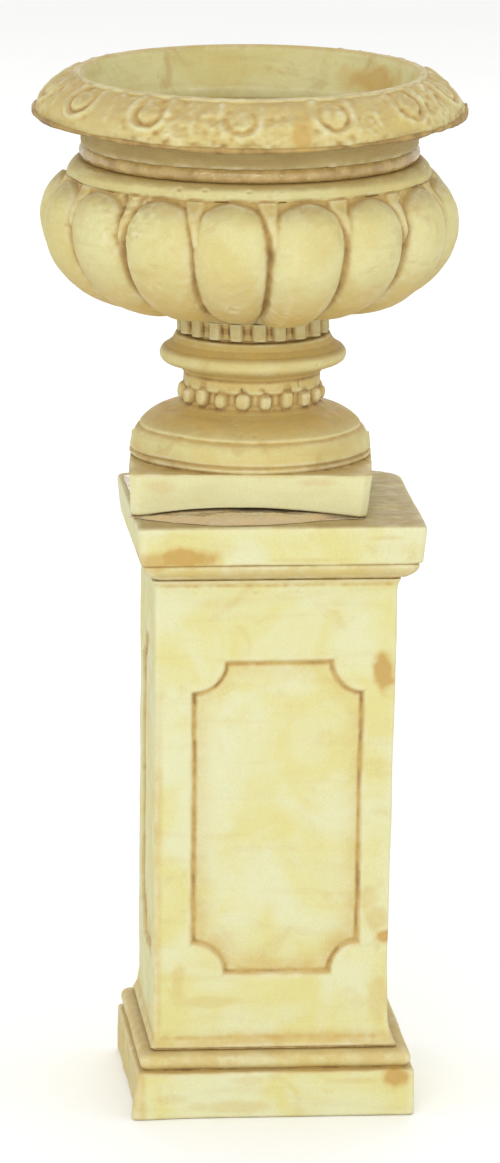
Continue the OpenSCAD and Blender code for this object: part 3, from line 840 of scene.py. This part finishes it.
# ---------------------------------------------------------------- materials
class Nodes:
    """Short calls for building one material's node tree."""

    def __init__(self, name):
        self.material = bpy.data.materials.new(name)
        self.material.use_nodes = True
        self.tree = self.material.node_tree
        self.shader = self.tree.nodes["Principled BSDF"]
        self.place = self.add("ShaderNodeTexCoord").outputs["Object"]

    def add(self, kind, inputs=(), **settings):
        node = self.tree.nodes.new(kind)
        for key, value in settings.items():
            setattr(node, key, value)
        for key, value in dict(inputs).items():
            self.put(node.inputs[key], value)
        return node

    def put(self, socket, value):
        if isinstance(value, bpy.types.NodeSocket):
            self.tree.links.new(value, socket)
        else:
            socket.default_value = value

    def upward(self, vector):
        return self.add("ShaderNodeSeparateXYZ", {0: vector}).outputs["Z"]

    def stretched(self, scale):
        return self.add("ShaderNodeMapping", {"Vector": self.place, "Scale": scale}).outputs["Vector"]

    def noise(self, size_mm, detail=3.0, roughness=0.5, vector=None, distortion=0.0):
        return self.add("ShaderNodeTexNoise", {
            "Vector": self.place if vector is None else vector, "Scale": 1000 / size_mm,
            "Detail": detail, "Roughness": roughness, "Distortion": distortion}).outputs["Fac"]

    def ramp(self, value, low, high, to_low=0.0, to_high=1.0):
        return self.add("ShaderNodeMapRange", {
            "Value": value, "From Min": low, "From Max": high, "To Min": to_low, "To Max": to_high},
            interpolation_type="SMOOTHSTEP").outputs["Result"]

    def times(self, a, b):
        return self.add("ShaderNodeMath", {0: a, 1: b}, operation="MULTIPLY").outputs[0]

    def mix(self, share, a, b, blend="MIX"):
        node = self.add("ShaderNodeMix", data_type="RGBA", blend_type=blend)
        self.put(node.inputs[0], share)
        self.put(node.inputs[6], a)
        self.put(node.inputs[7], b)
        return node.outputs[2]

    def attribute(self, name):
        return self.add("ShaderNodeAttribute", attribute_name=name).outputs["Fac"]

    def bump(self, height, strength, distance_mm, normal=None):
        inputs = {"Height": height, "Strength": strength, "Distance": distance_mm * MM}
        if normal is not None:
            inputs["Normal"] = normal
        return self.add("ShaderNodeBump", inputs).outputs["Normal"]

    def over(self, share, tint, blend="MIX"):
        """Paint a tint over the material's colour."""
        self.colour = self.mix(share, self.colour, tint, blend)

    def finish(self, roughness, normal, **others):
        """The material, once the shader has its inputs; others name theirs with _ for a space."""
        inputs = {"Base Color": self.colour, "Roughness": roughness, "Normal": normal}
        inputs.update((key.replace("_", " "), value) for key, value in others.items())
        for key, value in inputs.items():
            self.put(self.shader.inputs[key], value)
        return self.material


def srgb(r, g, b):
    """Linear colour from 0-255 display values."""
    return tuple(((c / 255 + 0.055) / 1.055) ** 2.4 for c in (r, g, b)) + (1.0,)


def stone_material(name, cream, butter, wash_and_shade, umber, wash_amount, bands=()):
    """Painted cast stone: cream paint over ochre washes that stay in the hollows, with dust and painted
    shade on tops and painted shade on undersides.

    Each band is a stretch of heights in mm that takes a colour, the stone's own or a painted shade: (low,
    high, soft edge, share, colour).
    """
    m = Nodes(name)
    cavity, edge, stain, wash_and_shade_map = (m.attribute(key) for key in ("cavity", "edge", "stain", "wash_and_shade"))
    cloud = m.ramp(m.noise(55, 4, 0.55, distortion=0.6), 0.35, 0.65)
    m.colour = m.mix(cloud, cream, butter)
    patches = m.ramp(m.noise(30, 5, 0.6, distortion=1.0), 0.54, 0.74)
    m.over(m.times(patches, wash_amount), wash_and_shade)
    brushed = m.noise(16, vector=m.stretched((0.22, 0.22, 1.6)))
    m.over(m.times(m.ramp(brushed, 0.52, 0.72), 0.35 * wash_amount + 0.06), wash_and_shade)
    facing = m.upward(m.add("ShaderNodeNewGeometry").outputs["Normal"])
    # surfaces facing up take a tan tint: dust, and painted shade for tops that the frontal light leaves
    # darker
    dust_and_top_shade = m.times(m.ramp(facing, 0.35, 0.95), m.ramp(m.noise(20, 4), 0.25, 0.6, 0.55, 0.9))
    m.over(dust_and_top_shade, srgb(184, 160, 108))
    # painted shade: surfaces facing down are darkened
    m.over(m.times(m.ramp(facing, -0.15, -0.8), 0.5), srgb(198, 172, 110))
    height = m.upward(m.place)
    for low, high, soft, share, tint in bands:
        inside = m.times(m.ramp(height, low * MM, (low + soft) * MM),
                        m.ramp(height, (high + soft) * MM, high * MM))
        uneven = m.ramp(m.noise(18, 4, vector=m.stretched((0.5, 0.5, 1.5))), 0.25, 0.65, share * 0.7, share)
        m.over(m.times(inside, uneven), tint)
    # tint from the map: the wash in grooves and hollows, and a painted shade on the bowl's lower outside
    wash_and_shade_tint = m.times(wash_and_shade_map, m.ramp(m.noise(16, 5, 0.6, distortion=0.8), 0.25, 0.65, 0.35, 1.0))
    m.over(wash_and_shade_tint, srgb(214, 182, 104))
    mottled = m.times(m.ramp(m.noise(12, 4, 0.6), 0.3, 0.7, 0.65, 1.25), cavity)
    m.over(m.ramp(mottled, 0.04, 0.6), wash_and_shade)
    m.over(m.ramp(mottled, 0.45, 1.25), umber)
    worn = m.times(edge, m.ramp(m.noise(14), 0.35, 0.65, 0.1, 0.6))
    m.over(worn, srgb(242, 236, 196))
    drops = m.times(stain, m.ramp(m.noise(7, 4, 0.6), 0.2, 0.5, 0.75, 1.0))
    m.over(m.times(drops, 0.9), srgb(214, 178, 100))
    m.over(m.times(m.ramp(drops, 0.6, 1.0), 0.35), srgb(190, 146, 70))
    specks = m.ramp(m.noise(1.6, 2, 0.6), 0.6, 0.78)
    m.over(m.times(specks, 0.12), umber)
    sand = m.ramp(m.noise(0.9, 2, 0.6), 0.2, 0.8, 0.735, 0.82)
    m.over(1.0, sand, blend="MULTIPLY")
    coarse = m.bump(m.noise(5, 4, 0.6), 0.35, 0.5)
    fine = m.bump(m.noise(0.8, 3, 0.6), 0.5, 0.16, coarse)
    return m.finish(m.ramp(m.noise(9), 0.3, 0.7, 0.5, 0.74), fine, Specular_IOR_Level=0.3)


def mortar_material():
    """Sandy mortar with darker grains."""
    m = Nodes("sandy_mortar")
    m.colour = m.mix(m.ramp(m.noise(8, 4, 0.6), 0.3, 0.7), srgb(206, 178, 118), srgb(174, 142, 84))
    m.over(m.ramp(m.noise(0.9, 2, 0.6), 0.55, 0.75, 0, 0.7), srgb(96, 78, 50))
    m.over(m.ramp(m.attribute("cavity"), 0.2, 0.9), srgb(84, 62, 36))
    grains = m.bump(m.noise(1.2, 3, 0.65), 0.9, 0.4, m.bump(m.noise(6), 0.5, 0.8))
    return m.finish(0.95, grains)


def sealant_material():
    """Brown sealant, smoothed by a wet finger and still glossy."""
    m = Nodes("brown_sealant_gloss")
    m.colour = m.mix(m.ramp(m.noise(14, 4, 0.6), 0.3, 0.7), srgb(190, 164, 106), srgb(160, 132, 78))
    m.over(m.ramp(m.attribute("cavity"), 0.3, 1.2), srgb(122, 94, 52))
    m.over(m.ramp(m.noise(5), 0.6, 0.75, 0, 0.5), srgb(206, 184, 136))
    return m.finish(m.ramp(m.noise(10), 0.35, 0.65, 0.12, 0.4),
                    m.bump(m.noise(3), 0.35, 0.4), Specular_IOR_Level=0.6)


def metal_material(name, bright, dull, stain, roughness, scale=1.0):
    """Bare metal with lathe marks, dull patches and stain in its corners."""
    m = Nodes(name)
    patches = m.ramp(m.noise(6 * scale, 4, 0.6, distortion=0.5), 0.35, 0.65)
    m.colour = m.mix(patches, bright, dull)
    m.over(m.ramp(m.attribute("cavity"), 0.1, 0.8), stain)
    m.over(m.ramp(m.noise(1.4, 3, 0.6), 0.62, 0.8, 0, 0.6), stain)
    marks = m.noise(0.7, 2, 0.5, vector=m.stretched((0.15, 0.15, 1.0)))
    return m.finish(m.ramp(m.noise(4), 0.3, 0.7, roughness, roughness + 0.22),
                    m.bump(marks, 0.25, 0.08), Metallic=m.ramp(patches, 0, 1, 1.0, 0.85))


def rubber_material():
    """Black rubber with chalky bloom."""
    m = Nodes("black_rubber")
    bloom = m.ramp(m.noise(5, 4, 0.6), 0.45, 0.75, 0, 0.35)
    m.colour = m.mix(bloom, srgb(34, 33, 32), srgb(92, 88, 82))
    return m.finish(m.ramp(bloom, 0, 0.35, 0.6, 0.9), m.bump(m.noise(1.0), 0.4, 0.1))


def film_material():
    """Clear crumpled film that has taken up brown dust."""
    m = Nodes("clear_film_gloss")
    dust = m.ramp(m.noise(14, 4, 0.6, distortion=0.8), 0.35, 0.7)
    m.colour = m.mix(dust, srgb(232, 212, 172), srgb(206, 178, 130))
    creases = m.bump(m.noise(5, 5, 0.6, distortion=1.4), 0.6, 0.8, m.bump(m.noise(1.4), 0.25, 0.2))
    return m.finish(m.ramp(dust, 0, 1, 0.08, 0.3), creases, IOR=1.45, Coat_Weight=0.4,
                    Coat_Roughness=0.06, Transmission_Weight=m.ramp(dust, 0, 1, 0.4, 0.15))


# ---------------------------------------------------------------- camera, light and floor
KEY_WATTS, FILL_WATTS, BACK_WATTS, WORLD_STRENGTH = 62, 8, 24, 0.98
FLOOR_HALF = 12
def make_camera():
    azimuth, pitch, roll = radians(-5.2), radians(12.01), radians(0.4)
    reach, height = 5.6, 1.541
    yaw = azimuth + radians(0.12)
    forward = Vector((-sin(yaw) * cos(pitch), cos(yaw) * cos(pitch), -sin(pitch)))
    right = Vector((cos(yaw), sin(yaw), 0))
    up = right.cross(forward)
    right, up = right * cos(roll) + up * sin(roll), up * cos(roll) - right * sin(roll)
    data = bpy.data.cameras.new("camera")
    data.lens, data.sensor_width = 262, 36
    data.clip_start, data.clip_end = 0.1, 100
    camera = add_object("camera", data)
    rotation = Matrix((right, up, -forward)).transposed().to_4x4()
    place = Vector((reach * sin(azimuth), -reach * cos(azimuth), height))
    camera.matrix_world = Matrix.Translation(place) @ rotation
    bpy.context.scene.camera = camera


def area_light(name, place, size, watts, colour=(1, 1, 1)):
    data = bpy.data.lights.new(name, "AREA")
    data.shape, data.size, data.energy, data.color = "DISK", size, watts, colour
    light = add_object(name, data)
    light.location = place
    light.rotation_mode = "QUATERNION"
    light.rotation_quaternion = (Vector((0, 0, 0.4)) - Vector(place)).to_track_quat("-Z", "Y")


def make_studio():
    area_light("key", (-0.9, -4.2, 2.1), 2.4, KEY_WATTS, (1, 0.995, 0.98))
    area_light("fill", (2.6, -3.4, 1.2), 2.6, FILL_WATTS)
    area_light("back", (0.5, 3.4, 2.6), 2.4, BACK_WATTS)
    world = bpy.data.worlds.new("studio")
    world.use_nodes = True
    sky = world.node_tree.nodes["Background"].inputs
    sky["Color"].default_value, sky["Strength"].default_value = (1, 1, 1, 1), WORLD_STRENGTH
    bpy.context.scene.world = world
    bpy.context.scene.view_settings.view_transform = "Standard"
    mesh = bpy.data.meshes.new("floor")
    corners = [(x * FLOOR_HALF, y * FLOOR_HALF, 0) for x, y in ((-1, -1), (1, -1), (1, 1), (-1, 1))]
    mesh.from_pydata(corners, [], [(0, 1, 2, 3)])
    m = Nodes("floor_paint")
    paint = m.mix(m.noise(300, 2), (0.93, 0.93, 0.92, 1), (0.96, 0.96, 0.95, 1))
    m.put(m.shader.inputs["Base Color"], paint)
    m.put(m.shader.inputs["Roughness"], 0.8)
    mesh.materials.append(m.material)
    add_object("floor", mesh)


def dress(piece, body, slot, node):
    piece.data.materials.append(PAINTS[slot])
    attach(piece, body)
    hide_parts(node)
    return piece


make_camera()
make_studio()

PAINTS = {
    "pedestal_stone": stone_material(
        "pedestal_paint", srgb(233, 232, 186), srgb(230, 222, 150), srgb(212, 182, 110),
        srgb(156, 120, 66), 0.3),
    "urn_stone": stone_material(
        "urn_paint", srgb(228, 221, 160), srgb(222, 207, 136), srgb(196, 164, 98),
        srgb(138, 106, 58), 0.55, bands=((URN_Z - 1, URN_Z + 26, 4, 0.9, srgb(240, 237, 186)),
                                         # painted shade under the bowl, over the top of the socle and the
                                         # neck
                                         (URN_Z + 100, URN_Z + 140, 8, 0.4, srgb(190, 160, 98)),
                                         # the plain band under the rim's lip: a stain with a painted shadow
                                         # of the lip over it
                                         (URN_Z + 237, URN_Z + 254, 3, 0.95, srgb(182, 156, 96)))),
    "mortar": mortar_material(),
    "sealant": sealant_material(),
    "tube_brass": metal_material(
        "worn_brass", srgb(214, 178, 96), srgb(168, 128, 62), srgb(84, 60, 32), 0.25),
    "dowel_steel": metal_material(
        "ribbed_bar_steel", srgb(150, 146, 140), srgb(118, 104, 92), srgb(110, 62, 36), 0.4, 2.0),
    "washer_steel": metal_material(
        "zinc_washer_steel", srgb(196, 198, 200), srgb(150, 152, 154), srgb(96, 84, 70), 0.3),
    "gasket_rubber": rubber_material(),
    "clear_film": film_material(),
}

PIECES = {
    "pedestal": (
        (build_base(), "pedestal_stone", "pedestal_base"),
        (build_shaft(), "pedestal_stone", "pedestal_shaft"),
        (build_cap(), "pedestal_stone", "pedestal_cap"),
        (build_square_bed("base_mortar_bed", 5), "mortar", "base_mortar_bed"),
        (build_square_bed("cap_mortar_bed", 3.6), "mortar", "cap_mortar_bed"),
        (build_bars("base_dowels"), "dowel_steel", "base_dowels"),
        (build_bars("cap_dowels"), "dowel_steel", "cap_dowels")),
    "urn": (
        (build_socle(), "urn_stone", "urn_socle"),
        (build_neck_bed(), "mortar", "neck_mortar_bed"),
        (build_neck(), "urn_stone", "urn_neck"),
        (build_bowl(), "urn_stone", "urn_bowl"),
        (build_sealant(), "sealant", "rim_sealant"),
        (build_rim(), "urn_stone", "urn_rim"),
        (build_tube(), "tube_brass", "drain_tube"),
        (build_nut("brass_top_nut", "tube_top_nut"), "tube_brass", "tube_top_nut"),
        (build_nut("brass_bottom_nut", "tube_bottom_nut"), "tube_brass", "tube_bottom_nut"),
        (build_ring("top_washer", "tube_top_washer", 0.5, 0), "washer_steel", "tube_top_washer"),
        (build_ring("plate_washer", "tube_plate_washer", 0.7, 0), "washer_steel", "tube_plate_washer"),
        (build_ring("rubber_gasket", "tube_gasket", 0.6, 0.35), "gasket_rubber", "tube_gasket")),
}

for body, pieces in PIECES.items():
    for piece, slot, node in pieces:
        dress(piece, body, slot, node)
film = dress(build_film(), "sheet", "clear_film", "clear_slip_sheet")
margin = dress(build_strip(), "sheet", "clear_film", "clear_slip_sheet")
